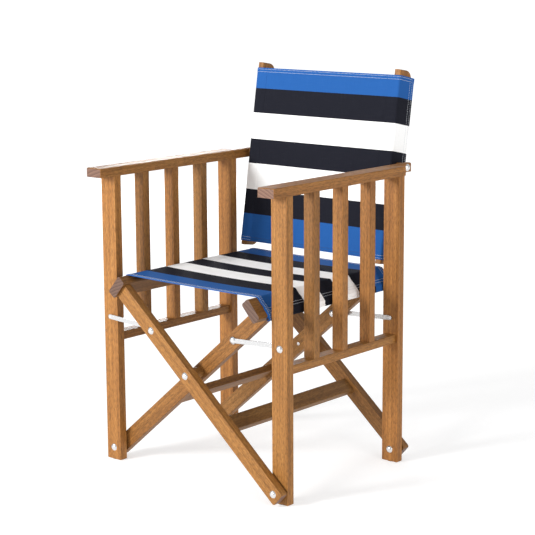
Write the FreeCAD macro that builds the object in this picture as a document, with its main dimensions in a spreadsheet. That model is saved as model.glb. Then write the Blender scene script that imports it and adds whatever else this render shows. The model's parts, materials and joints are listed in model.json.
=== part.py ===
"""Folding director chair: two slatted wooden sides, two crossed ladders, a seat sling and a back sling.

Millimetres, +Z up, the chair faces -Y. The origin is on the floor, midway across the chair's width
and midway between its foremost and rearmost points.

Ladder A pivots on the right side's feet and carries the left seat rail. Ladder B pivots on the left
side's feet and carries the right seat rail. Ladder B is ladder A turned half a turn about +Z, and
narrower, so that its members run inside the legs while ladder A's run outside them.
"""
import FreeCAD, Part
import math
import os

import Sketcher
from FreeCAD import Placement, Rotation, Vector

DRIVING = {
    # side frames
    "leg_spread": 530.0,  # between the middles of the left and right legs
    "leg_pitch": 413.4,  # between the middles of a side's front and rear legs
    "leg_wide": 45.0,
    "leg_deep": 22.0,
    "leg_foot": 1.0,  # height of a leg's lower end, on its glide
    "glide_radius": 11.0,
    "arm_top": 722.0,
    "arm_thick": 22.0,
    "arm_wide": 48.0,
    "arm_overhang": 45.0,  # reach of an armrest past its front leg
    "arm_offset": 1.0,  # armrest's middle, outward of the leg's middle
    "arm_edge": 3.0,  # rounding of the armrest's edges
    "tongue_wide": 14.0,
    "tongue_past_pivot": 14.0,
    "side_rail_mid": 308.0,
    "side_rail_high": 20.0,
    "slat_wide": 30.0,
    "slat_deep": 21.0,
    "board_edge": 1.5,  # rounding of the long edges of the sides' and the ladders' boards
    # ladders
    "pivot_high": 30.0,
    "cross_high": 258.0,
    "member_wide": 38.0,
    "member_thick": 21.0,
    "member_gap": 4.0,  # between a leg's face and the member beside it
    "member_past_pivot": 19.0,
    "member_toe": 6.0,  # rounding of the two corners at a member's foot
    "stretcher_edge": 2.0,
    "stretcher_thick": 18.0,
    "stretcher_a_drop": 153.5,  # from the crossing, down along the member
    "stretcher_b_drop": 131.0,
    "rail_thick": 24.0,
    "rail_high": 53.0,
    "rail_reach": 279.0,  # from the crossing to the seat rail's middle, up along the member
    "rail_lift": 2.0,  # seat rail's middle, square to the member
    "rail_front": 8.0,  # reach of a seat rail in front of ladder A
    "rail_edge": 5.0,
    # links
    "link_pin_high": 358.0,
    "link_bolt_reach": 141.0,  # from the crossing, up along the member
    "link_wide": 11.0,
    "link_thick": 2.5,
    # back
    "back_lean": 9.2,  # degrees from upright
    "back_pivot_behind": 272.0,  # behind the middle of the sides
    "back_pivot_high": 710.7,
    "stile_inset": 50.5,  # stile's middle, inward of the leg's middle
    "stile_thick": 18.0,
    "stile_deep": 49.0,
    "stile_below": 237.0,
    "stile_above": 231.0,
    "stile_corner": 21.0,  # rounding of a post's rear corners
    "stile_edge": 4.0,
    # slings
    "cloth_thick": 1.5,
    "cloth_slack": 0.3,  # between the cloth and the wood under it
    "seat_front": 221.2,  # ahead of the middle of the sides
    "seat_rear": 236.3,
    "back_cloth_below": 226.0,
    "back_cloth_above": 217.0,
    "sleeve_deep": 64.0,
    "rod_radius": 2.6,  # wooden rod in the seat cloth's lower hem
    "rod_along": 285.5,  # from the crossing to the rod, up along the member
    "rod_past_cloth": 1.5,
    "rod_play": 0.1,  # radial, between a rod and the hem round it
    "hem_high": 22.0,  # doubled cloth up a seat rail's outer face
    "flap_lap": 3.75,  # how far a flap runs up past the start of its rail's rounded crest
    "eyelet_play": 1.2,  # radial, between the back cloth's eyelet and the bolt in it
    # bolts
    "shank_radius": 4.0,
    "head_radius": 9.0,
    "head_high": 4.5,
    "running_gap": 0.3,  # radial, where a piece turns on a shank
    "crossing_radius": 13.0,  # round wooden spacers at the crossing
    "back_spacer_radius": 10.0,  # round wooden spacers between the tongues and the back's posts
}

doc = FreeCAD.newDocument("DirectorChair")
sheet = doc.addObject("Spreadsheet::Sheet", "Dimensions")
for row, (alias, value) in enumerate(DRIVING.items(), start=1):
    sheet.set(f"A{row}", alias)
    sheet.set(f"B{row}", str(value))
    sheet.setAlias(f"B{row}", alias)
doc.recompute()

size = {alias: float(sheet.get(alias)) for alias in DRIVING}

# --- places worked out from the driving dimensions -------------------------------------------------
half_spread = size["leg_spread"] / 2
half_pitch = size["leg_pitch"] / 2
cross_rise = size["cross_high"] - size["pivot_high"]
arm_length = math.hypot(half_spread, cross_rise)  # from a foot pivot to the crossing
opening = math.atan2(cross_rise, half_spread)  # a member's slope
lean = math.radians(size["back_lean"])

front_reach = half_pitch + size["leg_deep"] / 2 + size["arm_overhang"]
sleeve_rear = size["sleeve_deep"] - size["stile_deep"] / 2 - size["cloth_thick"] - size["cloth_slack"]
rear_reach = (
    size["back_pivot_behind"] + size["back_cloth_above"] * math.sin(lean) + sleeve_rear * math.cos(lean)
)
sides_mid = (front_reach - rear_reach) / 2  # y of the middle of the sides, in the part's own frame

leg_face = half_pitch + size["leg_deep"] / 2  # outer face of a leg, from the sides' middle
leg_inner_face = half_pitch - size["leg_deep"] / 2
ladder_a_face = leg_face + size["member_gap"] + size["member_thick"]  # outer face of ladder A
ladder_b_face = leg_inner_face - size["member_gap"]  # outer face of ladder B
ladder_b_inner = ladder_b_face - size["member_thick"]
arm_under = size["arm_top"] - size["arm_thick"]
rail_inner = size["rail_reach"] - size["rail_thick"] / 2  # a member ends here, on the seat rail

made = []


# --- helpers ---------------------------------------------------------------------------------------
def keep(part, label, placement):
    """Register a finished sub-part under its own label and place."""
    part.Label = label
    part.Placement = placement
    made.append(part)
    return part


def place(x, y, z, rotation=None):
    """A placement whose y is counted from the middle of the sides."""
    return Placement(Vector(x, sides_mid + y, z), rotation or Rotation())


def origin_plane(body, role):
    return next(feature for feature in body.Origin.OriginFeatures if feature.Role == role)


def sketch_on(body, role, name):
    sketch = body.newObject("Sketcher::SketchObject", name)
    sketch.AttachmentSupport = [(origin_plane(body, role), "")]
    sketch.MapMode = "FlatFace"
    return sketch


def closed_outline(sketch, points):
    """Straight lines through the points, joined end to end; returns the number of lines."""
    count = len(points)
    for index, point in enumerate(points):
        following = points[(index + 1) % count]
        sketch.addGeometry(Part.LineSegment(Vector(*point, 0), Vector(*following, 0)), False)
    for index in range(count):
        sketch.addConstraint(Sketcher.Constraint("Coincident", index, 2, (index + 1) % count, 1))
    return count


def rectangle(sketch, wide, high):
    """A rectangle about the sketch's origin, its two sizes bound to expressions."""
    closed_outline(sketch, [(-5, -5), (5, -5), (5, 5), (-5, 5)])
    for index, direction in enumerate(("Horizontal", "Vertical", "Horizontal", "Vertical")):
        sketch.addConstraint(Sketcher.Constraint(direction, index))
    sketch.addConstraint(Sketcher.Constraint("Symmetric", 0, 1, 1, 2, -1, 1))
    across = sketch.addConstraint(Sketcher.Constraint("DistanceX", 0, 1, 0, 2, 10))
    up = sketch.addConstraint(Sketcher.Constraint("DistanceY", 1, 1, 1, 2, 10))
    sketch.setExpression(f"Constraints[{across}]", wide)
    sketch.setExpression(f"Constraints[{up}]", high)


def strip(sketch, start, stop, wide):
    """A rectangle along the sketch's X axis from start to stop, its width bound to an expression."""
    closed_outline(sketch, [(start, -5), (stop, -5), (stop, 5), (start, 5)])
    for index, direction in ((0, "Horizontal"), (2, "Horizontal"), (3, "Vertical")):
        sketch.addConstraint(Sketcher.Constraint(direction, index))
    sketch.addConstraint(Sketcher.Constraint("Symmetric", 1, 1, 1, 2, -1))
    across = sketch.addConstraint(Sketcher.Constraint("DistanceY", 1, 1, 1, 2, 10))
    sketch.setExpression(f"Constraints[{across}]", wide)
    sketch.addConstraint(Sketcher.Constraint("DistanceX", -1, 1, 0, 1, start))
    sketch.addConstraint(Sketcher.Constraint("DistanceX", -1, 1, 0, 2, stop))


def pad(body, sketch, length, name="Pad"):
    feature = body.newObject("PartDesign::Pad", name)
    feature.Profile = sketch
    feature.setExpression("Length", length)
    return feature


def pocket_through(body, sketch, name):
    """Cut the sketch right through the body, and check that the cut removes material."""
    doc.recompute()
    before = body.Shape.Volume
    feature = body.newObject("PartDesign::Pocket", name)
    feature.Profile = sketch
    feature.SideType = "Symmetric"
    feature.Type = "ThroughAll"
    doc.recompute()
    if body.Shape.Volume > before - 1:
        raise RuntimeError(f"{body.Name}: {name} cuts nothing")
    return feature


def circle(sketch, x, y, radius):
    """A circle at a place along the sketch, its radius bound to an expression."""
    index = sketch.addGeometry(Part.Circle(Vector(x, y, 0), Vector(0, 0, 1), 4), False)
    bound = sketch.addConstraint(Sketcher.Constraint("Radius", index, 4))
    sketch.setExpression(f"Constraints[{bound}]", radius)
    sketch.addConstraint(Sketcher.Constraint("DistanceX", -1, 1, index, 3, x))
    sketch.addConstraint(Sketcher.Constraint("DistanceY", -1, 1, index, 3, y))


def round_edges(body, radius, chosen):
    """Fillet the edges of the body for which chosen(edge) is true."""
    doc.recompute()
    base = body.Tip
    names = [f"Edge{i}" for i, edge in enumerate(base.Shape.Edges, start=1) if chosen(edge)]
    feature = body.newObject("PartDesign::Fillet", "Rounding")
    feature.Base = (base, names)
    feature.setExpression("Radius", radius)
    return feature


def runs_along(edge, direction):
    """Whether a straight edge lies along a direction."""
    if edge.Curve.TypeId != "Part::GeomLine":
        return False
    return abs(edge.Curve.Direction.dot(Vector(*direction))) > 0.999


def board(label, wide, deep, length, placement, edge=None, holes=()):
    """A straight piece of timber: section wide (local X) by deep (local Y), running along local Z.

    holes are the heights, on local Z, of bolt holes along local Y.
    """
    body = doc.addObject("PartDesign::Body", label)
    section = sketch_on(body, "XY_Plane", "Section")
    rectangle(section, wide, deep)
    pad(body, section, length)
    if edge:
        round_edges(body, edge, lambda e: runs_along(e, (0, 0, 1)))
    if holes:
        bores = sketch_on(body, "XZ_Plane", "Bores")
        for height in holes:
            circle(bores, 0, height, "Dimensions.shank_radius")
        pocket_through(body, bores, "Boring")
    return keep(body, label, placement)


def bolt(label, placement, length, headed=True):
    """A bolt along local -Z from the face under its domed head; length is an expression or number."""
    body = doc.addObject("PartDesign::Body", label)
    shank = sketch_on(body, "XY_Plane", "ShankCircle")
    circle(shank, 0, 0, "Dimensions.shank_radius")
    core = pad(body, shank, length, "Shank")
    core.Reversed = True
    if headed:
        rim, rise = size["head_radius"], size["head_high"]
        dome_radius = (rim * rim + rise * rise) / (2 * rise)
        half_turn = math.asin(rim / dome_radius) / 2
        crown = Vector(dome_radius * math.sin(half_turn), dome_radius * (math.cos(half_turn) - 1) + rise, 0)
        profile = sketch_on(body, "XZ_Plane", "HeadProfile")
        profile.addGeometry(Part.LineSegment(Vector(0, 0, 0), Vector(rim, 0, 0)), False)
        profile.addGeometry(Part.Arc(Vector(rim, 0, 0), crown, Vector(0, rise, 0)), False)
        profile.addGeometry(Part.LineSegment(Vector(0, rise, 0), Vector(0, 0, 0)), False)
        head = body.newObject("PartDesign::Revolution", "Head")
        head.Profile = profile
        head.ReferenceAxis = (profile, ["V_Axis"])
        head.Angle = 360
    return keep(body, label, placement)


def ring(label, outer, length, placement):
    """A round spacer along local Z with a bolt's hole through it."""
    body = doc.addObject("PartDesign::Body", label)
    section = sketch_on(body, "XY_Plane", "Section")
    circle(section, 0, 0, outer)
    circle(section, 0, 0, "Dimensions.shank_radius")
    pad(body, section, length)
    return keep(body, label, placement)


# local +Z turned to point along these row directions
TO_FRONT = Rotation(Vector(1, 0, 0), 90)
TO_REAR = Rotation(Vector(1, 0, 0), -90)


def outward(side):
    """Local +Z turned to point away from the chair's middle on a side, +1 right or -1 left."""
    return Rotation(Vector(0, 1, 0), 90 * side)


# --- side frames -----------------------------------------------------------------------------------
def front_corner(edge):
    return edge.BoundBox.Center.y < -front_reach + 1


def armrest(label, side, x):
    """The armrest: a flat board whose inner part runs on behind the rear leg as a tongue."""
    body = doc.addObject("PartDesign::Body", label)
    plan = sketch_on(body, "XY_Plane", "Plan")
    inner = -side * size["arm_wide"] / 2
    outer = side * size["arm_wide"] / 2
    step = inner + side * size["tongue_wide"]
    front, rear = -front_reach, leg_face
    tip = size["back_pivot_behind"] + size["tongue_past_pivot"]
    lines = closed_outline(
        plan, [(inner, front), (outer, front), (outer, rear), (step, rear), (step, tip), (inner, tip)]
    )
    for index in range(lines):
        plan.addConstraint(Sketcher.Constraint("Vertical" if index % 2 else "Horizontal", index))
    across = plan.addConstraint(Sketcher.Constraint("DistanceX", 0, 1, 0, 2, side * size["arm_wide"]))
    plan.setExpression(f"Constraints[{across}]", f"{side} * Dimensions.arm_wide")
    tongue = plan.addConstraint(Sketcher.Constraint("DistanceX", 4, 2, 4, 1, side * size["tongue_wide"]))
    plan.setExpression(f"Constraints[{tongue}]", f"{side} * Dimensions.tongue_wide")
    for line, end, x_at, y_at in ((0, 1, inner, front), (3, 1, None, rear), (4, 1, None, tip)):
        if x_at is not None:
            plan.addConstraint(Sketcher.Constraint("DistanceX", -1, 1, line, end, x_at))
        plan.addConstraint(Sketcher.Constraint("DistanceY", -1, 1, line, end, y_at))
    pad(body, plan, "Dimensions.arm_thick")
    top = size["arm_thick"]
    round_edges(
        body,
        "Dimensions.arm_edge",
        lambda e: min(v.Z for v in e.Vertexes) > top - 1e-6 or (runs_along(e, (0, 0, 1)) and front_corner(e)),
    )
    bores = sketch_on(body, "YZ_Plane", "PivotBore")
    circle(
        bores, size["back_pivot_behind"], size["back_pivot_high"] - arm_under, "Dimensions.shank_radius"
    )
    pocket_through(body, bores, "PivotBoring")
    return keep(body, label, place(x + side * size["arm_offset"], 0, arm_under))


def side_frame(side, word):
    """One side: two legs, a lower rail, three slats, the armrest, glides and the side's own bolts."""
    x = side * half_spread
    bolt_drop = size["leg_foot"]
    for end, name in ((-1, "front"), (1, "rear")):
        heights = (size["pivot_high"] - bolt_drop, size["link_pin_high"] - bolt_drop)
        board(
            f"leg_{name}_{word}",
            "Dimensions.leg_wide",
            "Dimensions.leg_deep",
            "Dimensions.arm_top - Dimensions.arm_thick - Dimensions.leg_foot",
            place(x, end * half_pitch, size["leg_foot"]),
            edge="Dimensions.board_edge",
            holes=heights,
        )
        glide = doc.addObject("Part::Cylinder", f"glide_{name}_{word}")
        glide.setExpression("Radius", "Dimensions.glide_radius")
        glide.setExpression("Height", "Dimensions.leg_foot")
        keep(glide, f"glide_{name}_{word}", place(x, end * half_pitch, 0))

    board(
        f"side_rail_{word}",
        "Dimensions.slat_wide",
        "Dimensions.side_rail_high",
        "Dimensions.leg_pitch - Dimensions.leg_deep",
        place(x, leg_inner_face, size["side_rail_mid"], TO_FRONT),
        edge="Dimensions.board_edge",
    )
    slat_pitch = size["leg_pitch"] / 4
    slat_foot = size["side_rail_mid"] + size["side_rail_high"] / 2
    for number in (1, 2, 3):
        board(
            f"slat_{word}_{number}",
            "Dimensions.slat_wide",
            "Dimensions.slat_deep",
            "Dimensions.arm_top - Dimensions.arm_thick - Dimensions.side_rail_mid"
            " - Dimensions.side_rail_high / 2",
            place(x, (number - 2) * slat_pitch, slat_foot),
            edge="Dimensions.board_edge",
        )
    armrest(f"armrest_{word}", side, x)

    pivot_x = x + side * (size["arm_offset"] - size["arm_wide"] / 2 + size["tongue_wide"])
    pivot_at = (size["back_pivot_behind"], size["back_pivot_high"])
    bolt(
        f"back_bolt_{word}",
        place(pivot_x, *pivot_at, outward(side)),
        "Dimensions.tongue_wide + Dimensions.stile_inset - Dimensions.arm_wide / 2"
        " + Dimensions.arm_offset + Dimensions.stile_thick / 4",
    )
    cloth_face = size["stile_inset"] - size["stile_thick"] / 2 - size["cloth_thick"] - 2 * size["cloth_slack"]
    ring(
        f"back_spacer_{word}",
        "Dimensions.back_spacer_radius",
        "Dimensions.stile_inset - Dimensions.stile_thick / 2 - Dimensions.cloth_thick"
        " - 2 * Dimensions.cloth_slack - Dimensions.arm_wide / 2 + Dimensions.arm_offset",
        place(x - side * cloth_face, *pivot_at, outward(side)),
    )


def foot_and_link_bolts():
    """Bolts that stay in the legs: a member turns on each foot bolt, a link on each link pin."""
    through_leg = "Dimensions.leg_deep + Dimensions.member_gap + Dimensions.member_thick"
    link_pin = "Dimensions.leg_deep + (Dimensions.member_gap + Dimensions.link_thick) / 2"
    foot, pin = size["pivot_high"], size["link_pin_high"]
    heads = {
        # name: (x side, head's face, pointing, height, length)
        "foot_bolt_front_right": (1, -ladder_a_face, TO_FRONT, foot, through_leg),
        "foot_bolt_rear_right": (1, leg_inner_face, TO_FRONT, foot, through_leg),
        "foot_bolt_front_left": (-1, -leg_face, TO_FRONT, foot, through_leg),
        "foot_bolt_rear_left": (-1, ladder_b_inner, TO_FRONT, foot, through_leg),
        "link_pin_front_right": (1, -leg_face, TO_FRONT, pin, link_pin),
        "link_pin_rear_right": (1, leg_face, TO_REAR, pin, link_pin),
        "link_pin_front_left": (-1, -leg_inner_face, TO_REAR, pin, link_pin),
        "link_pin_rear_left": (-1, leg_inner_face, TO_FRONT, pin, link_pin),
    }
    for label, (side, face, pointing, height, length) in heads.items():
        bolt(label, place(side * half_spread, face, height, pointing), length)


# --- ladders ---------------------------------------------------------------------------------------
def ladder_turn(ladder):
    """Local X runs up along the member, local Y square to it, local Z to the rear (A) or front (B)."""
    slope = Rotation(Vector(0, 1, 0), math.degrees(opening))
    lie = Rotation(Vector(-1, 0, 0), Vector(0, 0, 1), Vector(0, 1, 0), "ZXY")
    turn = slope * lie
    return turn if ladder == "a" else Rotation(Vector(0, 0, 1), 180) * turn


def on_ladder(ladder, along, square, y):
    """A place on a ladder, from its distances along and square to the members and its y."""
    turn = ladder_turn(ladder)
    offset = turn.multVec(Vector(along, square, 0))
    return place(offset.x, y + offset.y, size["cross_high"] + offset.z, turn)


def member(label, ladder, y):
    """A ladder's long member: rounded at the foot, bored at the foot, the crossing and the link."""
    body = doc.addObject("PartDesign::Body", label)
    outline = sketch_on(body, "XY_Plane", "Outline")
    toe_end = -arm_length - size["member_past_pivot"]
    strip(outline, toe_end, rail_inner, "Dimensions.member_wide")
    pad(body, outline, "Dimensions.member_thick")
    round_edges(
        body,
        "Dimensions.member_toe",
        lambda e: runs_along(e, (0, 0, 1)) and e.BoundBox.Center.x < toe_end + 1,
    )
    round_edges(body, "Dimensions.board_edge", lambda e: runs_along(e, (1, 0, 0)))
    bores = sketch_on(body, "XY_Plane", "Bores")
    for along in (-arm_length, 0):
        circle(bores, along, 0, "Dimensions.shank_radius + Dimensions.running_gap")
    circle(bores, size["link_bolt_reach"], 0, "Dimensions.shank_radius")
    pocket_through(body, bores, "Boring")
    return keep(body, label, on_ladder(ladder, 0, 0, y))


def crosswise(label, ladder, along, square, section, front, length, driver, edge):
    """A piece across a ladder, along Y, with a section given as (along the member, square to it).

    front is the y of its front end, and driver the expression for its length.
    """
    start = front if ladder == "a" else front + length
    return board(label, *section, driver, on_ladder(ladder, along, square, start), edge=edge)


def ladders():
    """Each ladder's two members, its stretcher and its seat rail."""
    inside_a = ladder_a_face - size["member_thick"]
    member("member_front_a", "a", -ladder_a_face)
    member("member_rear_a", "a", inside_a)
    member("member_front_b", "b", -ladder_b_inner)
    member("member_rear_b", "b", ladder_b_face)

    stretcher_section = ("Dimensions.member_wide", "Dimensions.stretcher_thick")
    clear_a = "Dimensions.leg_pitch + Dimensions.leg_deep + 2 * Dimensions.member_gap"
    clear_b = (
        "Dimensions.leg_pitch - Dimensions.leg_deep - 2 * Dimensions.member_gap"
        " - 2 * Dimensions.member_thick"
    )
    for ladder, reach, clear in (("a", inside_a, clear_a), ("b", ladder_b_inner, clear_b)):
        drop = size[f"stretcher_{ladder}_drop"]
        crosswise(
            f"stretcher_{ladder}", ladder, -drop, 0, stretcher_section,
            -reach, 2 * reach, clear, "Dimensions.stretcher_edge",
        )

    rail_section = ("Dimensions.rail_thick", "Dimensions.rail_high")
    rail_length = 2 * ladder_a_face + size["rail_front"]
    rail_driver = f"{clear_a} + 2 * Dimensions.member_thick + Dimensions.rail_front"
    for word, ladder in (("left", "a"), ("right", "b")):
        crosswise(
            f"seat_rail_{word}", ladder, size["rail_reach"], size["rail_lift"], rail_section,
            -ladder_a_face - size["rail_front"], rail_length, rail_driver, "Dimensions.rail_edge",
        )


def ladder_bolts():
    """The crossing bolts and their wooden spacers, and the bolts that the links' far ends meet."""
    crossing = size["cross_high"]
    through = "2 * Dimensions.member_thick + 2 * Dimensions.member_gap + Dimensions.leg_deep"
    bolt("crossing_bolt_front", place(0, -ladder_a_face, crossing, TO_FRONT), through)
    bolt("crossing_bolt_rear", place(0, ladder_a_face, crossing, TO_REAR), through)
    between = "2 * Dimensions.member_gap + Dimensions.leg_deep - Dimensions.running_gap"
    inside_a = ladder_a_face - size["member_thick"]
    for name, end, pointing in (("front", -1, TO_REAR), ("rear", 1, TO_FRONT)):
        at = place(0, end * inside_a, crossing, pointing)
        ring(f"crossing_spacer_{name}", "Dimensions.crossing_radius", between, at)

    reach = size["link_bolt_reach"]
    through_member = "Dimensions.member_thick"
    for label, ladder, face, pointing in (
        ("link_bolt_front_a", "a", -ladder_a_face, TO_FRONT),
        ("link_bolt_rear_a", "a", ladder_a_face, TO_REAR),
        ("link_bolt_front_b", "b", -ladder_b_inner, TO_REAR),
        ("link_bolt_rear_b", "b", ladder_b_inner, TO_FRONT),
    ):
        at = on_ladder(ladder, reach, 0, face).Base
        bolt(label, Placement(at, pointing), through_member)


# --- links -----------------------------------------------------------------------------------------
def link_ends(ladder):
    """A link's pin on its leg and its bolt on the member, as points in X and Z."""
    pin = Vector(half_spread if ladder == "b" else -half_spread, 0, size["link_pin_high"])
    at = on_ladder(ladder, size["link_bolt_reach"], 0, 0).Base
    return pin, Vector(at.x, 0, at.z)


def link(label, ladder, y):
    """A flat strip with round ends; y is its front face."""
    pin, far = link_ends(ladder)
    length = pin.distanceToPoint(far)
    along = (far - pin).normalize()
    body = doc.addObject("PartDesign::Body", label)
    outline = sketch_on(body, "XY_Plane", "Outline")
    half = size["link_wide"] / 2
    outline.addGeometry(Part.LineSegment(Vector(0, -half, 0), Vector(length, -half, 0)), False)
    outline.addGeometry(
        Part.Arc(Vector(length, -half, 0), Vector(length + half, 0, 0), Vector(length, half, 0)), False
    )
    outline.addGeometry(Part.LineSegment(Vector(length, half, 0), Vector(0, half, 0)), False)
    outline.addGeometry(Part.Arc(Vector(0, half, 0), Vector(-half, 0, 0), Vector(0, -half, 0)), False)
    pad(body, outline, "Dimensions.link_thick")
    holes = sketch_on(body, "XY_Plane", "Holes")
    for x in (0, length):
        circle(holes, x, 0, "Dimensions.shank_radius + Dimensions.running_gap")
    pocket_through(body, holes, "Boring")
    turn = Rotation(along, Vector(0, 0, 0), Vector(0, 1, 0), "XZY")
    return keep(body, label, place(pin.x, y, pin.z, turn))


def links():
    """Four links, each in the middle of the gap between a leg and the member beside it."""
    clear = (size["member_gap"] - size["link_thick"]) / 2
    thick = size["link_thick"]
    cap_face = -leg_inner_face + clear
    link("link_front_left", "a", -leg_face - clear - thick)
    link("link_rear_left", "a", leg_face + clear)
    link("link_front_right", "b", cap_face)
    link("link_rear_right", "b", leg_inner_face - clear - thick)
    _, far = link_ends("b")
    bolt("link_cap_front_right", place(far.x, cap_face, far.z, TO_FRONT), "Dimensions.link_thick")


# --- back ------------------------------------------------------------------------------------------
def back_turn():
    """Local Z runs up along a stile, local X to the right, local Y to the rear."""
    return Rotation(Vector(1, 0, 0), -size["back_lean"])


def stile(label, side):
    """A back post with rounded rear corners at both ends, pivoting on one bolt."""
    body = doc.addObject("PartDesign::Body", label)
    outline = sketch_on(body, "YZ_Plane", "Outline")
    half, corner = size["stile_deep"] / 2, size["stile_corner"]
    low, top = -size["stile_below"], size["stile_above"]
    bend = corner * (1 - math.sqrt(0.5))
    foot, head = Vector(half - bend, low + bend, 0), Vector(half - bend, top - bend, 0)
    spots = [(half, top - corner), (half - corner, top), (-half, top)]
    spots += [(-half, low), (half - corner, low), (half, low + corner)]
    rear_top, crown, front_top, front_low, heel, rear_low = (Vector(y, z, 0) for y, z in spots)
    outline.addGeometry(Part.Arc(rear_top, head, crown), False)
    outline.addGeometry(Part.LineSegment(crown, front_top), False)
    outline.addGeometry(Part.LineSegment(front_top, front_low), False)
    outline.addGeometry(Part.LineSegment(front_low, heel), False)
    outline.addGeometry(Part.Arc(heel, foot, rear_low), False)
    outline.addGeometry(Part.LineSegment(rear_low, rear_top), False)
    core = pad(body, outline, "Dimensions.stile_thick")
    core.SideType = "Symmetric"
    broad_face = size["stile_thick"] / 2 - 1e-6
    round_edges(body, "Dimensions.stile_edge", lambda e: abs(e.BoundBox.Center.x) > broad_face)
    bores = sketch_on(body, "YZ_Plane", "Bores")
    circle(bores, 0, 0, "Dimensions.shank_radius + Dimensions.running_gap")
    pocket_through(body, bores, "Boring")
    x = side * (half_spread - size["stile_inset"])
    return keep(body, label, place(x, size["back_pivot_behind"], size["back_pivot_high"], back_turn()))


def box(name, lengths, base, rotation=None):
    """A Part::Box with its three sizes bound to expressions."""
    piece = doc.addObject("Part::Box", name)
    for prop, expression in zip(("Length", "Width", "Height"), lengths):
        piece.setExpression(prop, expression)
    piece.Placement = Placement(Vector(*base), rotation or Rotation())
    return piece


def joined(label, pieces):
    whole = doc.addObject("Part::MultiFuse", label)
    whole.Shapes = pieces
    whole.Refine = True
    return whole


def back_sling():
    """The back cloth: a front panel and a sleeve round each stile."""
    cloth, slack = size["cloth_thick"], size["cloth_slack"]
    inner = half_spread - size["stile_inset"] - size["stile_thick"] / 2 - slack
    outer = half_spread - size["stile_inset"] + size["stile_thick"] / 2 + slack
    front = -size["stile_deep"] / 2 - slack - cloth
    rear = front + size["sleeve_deep"]
    low = -size["back_cloth_below"]
    tall = "Dimensions.back_cloth_below + Dimensions.back_cloth_above"
    skin = "Dimensions.cloth_thick"
    across = (
        "Dimensions.leg_spread - 2 * Dimensions.stile_inset + Dimensions.stile_thick"
        " + 2 * Dimensions.cloth_slack + 2 * Dimensions.cloth_thick"
    )
    sleeve_wide = "Dimensions.stile_thick + 2 * Dimensions.cloth_slack + 2 * Dimensions.cloth_thick"
    pieces = [box("BackPanel", (across, skin, tall), (-outer - cloth, front, low))]
    for side, name in ((-1, "Left"), (1, "Right")):
        near = inner - cloth if side > 0 else -outer - cloth
        for word, x in (("Inner", inner - cloth), ("Outer", outer)):
            left = x if side > 0 else -x - cloth
            pieces.append(box(f"{word}{name}", (skin, "Dimensions.sleeve_deep", tall), (left, front, low)))
        pieces.append(box(f"Rear{name}", (sleeve_wide, skin, tall), (near, rear - cloth, low)))
    cloth_whole = joined("BackCloth", pieces)
    eyelets = []
    for side, name in ((-1, "Left"), (1, "Right")):
        eyelet = doc.addObject("Part::Cylinder", f"Eyelet{name}")
        eyelet.setExpression("Radius", "Dimensions.shank_radius + Dimensions.eyelet_play")
        eyelet.setExpression("Height", "4 * Dimensions.cloth_thick")
        eyelet.Placement = Placement(Vector(side * (outer - cloth), 0, 0), outward(side))
        eyelets.append(eyelet)
    holes = joined("Eyelets", eyelets)
    sling = doc.addObject("Part::Cut", "back_sling")
    sling.Base = cloth_whole
    sling.Tool = holes
    pivot = place(0, size["back_pivot_behind"], size["back_pivot_high"], back_turn())
    return keep(sling, "back_sling", pivot)


def rod_at(ladder, start, radius, length, name):
    """A cylinder along Y in a seat rail's lower hem; start is the y of its front end."""
    turn = ladder_turn(ladder)
    hem = size["cloth_slack"] + size["rod_radius"] + size["cloth_thick"]
    low = size["rail_lift"] - size["rail_high"] / 2 - hem
    offset = turn.multVec(Vector(size["rod_along"], low, 0))
    cylinder = doc.addObject("Part::Cylinder", name)
    cylinder.setExpression("Radius", radius)
    cylinder.setExpression("Height", length)
    cylinder.Placement = Placement(Vector(offset.x, start, size["cross_high"] + offset.z), TO_REAR)
    return cylinder


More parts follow.
